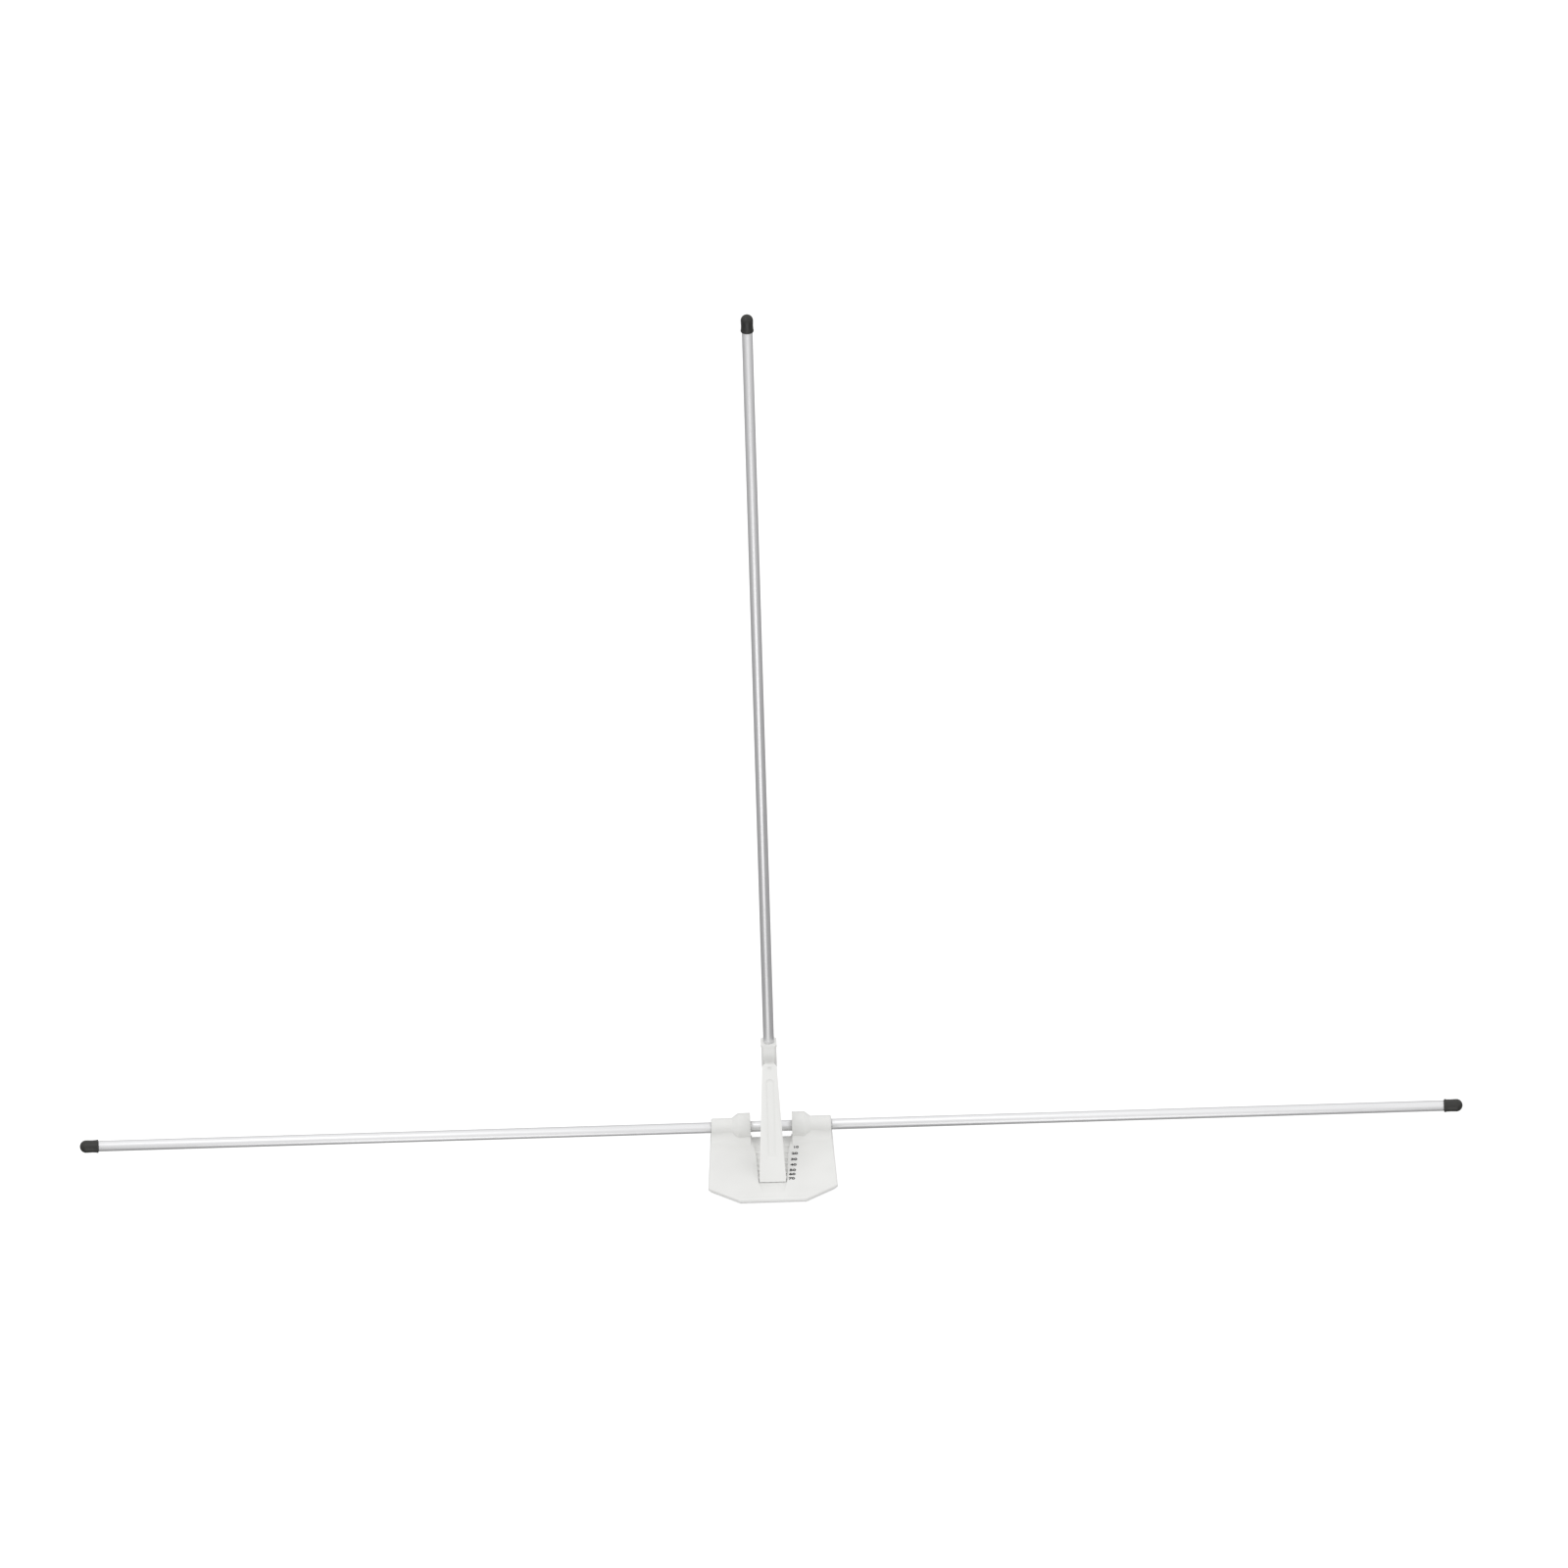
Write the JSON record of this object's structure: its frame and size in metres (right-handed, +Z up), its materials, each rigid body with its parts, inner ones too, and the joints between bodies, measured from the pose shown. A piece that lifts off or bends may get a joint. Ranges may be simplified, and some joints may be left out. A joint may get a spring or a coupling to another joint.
{
  "type": "three-rod alignment stand",
  "caption": "Low plastic base holding two level side rods and an upright rod on a hinged arm, propped by a brace whose foot steps along a numbered row of notches.",
  "frame": {"origin": "on the ground, under the middle of the base plate's depth and width", "axes": "+X along the right side rod, +Y to the back, +Z up along the upright rod"},
  "size_m": [0.8982, 0.098, 0.6171],
  "materials": {
    "white_plastic": "satin moulded",
    "rod_metal": "satin anodised",
    "black_vinyl": "soft satin",
    "black_rubber": "matte",
    "pin_steel": "ground",
    "black_ink": "printed, matte"
  },
  "bodies": {
    "base": {"base_plate": "white_plastic", "back_left_foot_pad": "black_rubber", "back_right_foot_pad": "black_rubber", "front_left_foot_pad": "black_rubber", "front_right_foot_pad": "black_rubber", "left_grip_ring": "black_rubber", "right_grip_ring": "black_rubber", "scale_numerals": "black_ink"},
    "arm": {"arm": "white_plastic", "hinge_axle": "rod_metal", "axle_cross_pin": "pin_steel", "brace_pin": "pin_steel", "upright_grip_ring": "black_rubber"},
    "brace": {"brace": "white_plastic"},
    "left_rod": {"left_rod": "rod_metal", "left_rod_cap": "black_vinyl"},
    "right_rod": {"right_rod": "rod_metal", "right_rod_cap": "black_vinyl"},
    "upright_rod": {"upright_rod": "rod_metal", "upright_rod_cap": "black_vinyl"}
  },
  "joints": [
    {"name": "arm_tilt", "type": "hinge", "parent": "base", "child": "arm", "pos_m": [0, 0.035, 0.01], "axis": [-1, 0, 0], "range_deg": [0, 56.42]},
    {"name": "brace_swing", "type": "hinge", "parent": "arm", "child": "brace", "pos_m": [0, 0.025, 0.0577], "axis": [-1, 0, 0], "range_deg": [-42.3, 0]},
    {"name": "left_rod_pull", "type": "slide", "parent": "base", "child": "left_rod", "axis": [-1, 0, 0], "range_m": [0, 0.016]},
    {"name": "right_rod_pull", "type": "slide", "parent": "base", "child": "right_rod", "axis": [1, 0, 0], "range_m": [0, 0.016]},
    {"name": "upright_rod_pull", "type": "slide", "parent": "arm", "child": "upright_rod", "axis": [0, 0, 1], "range_m": [0, 0.036]}
  ],
  "couplings": [
    {"joint": "brace_swing", "follows": "arm_tilt", "ratio": -0.7489}
  ]
}
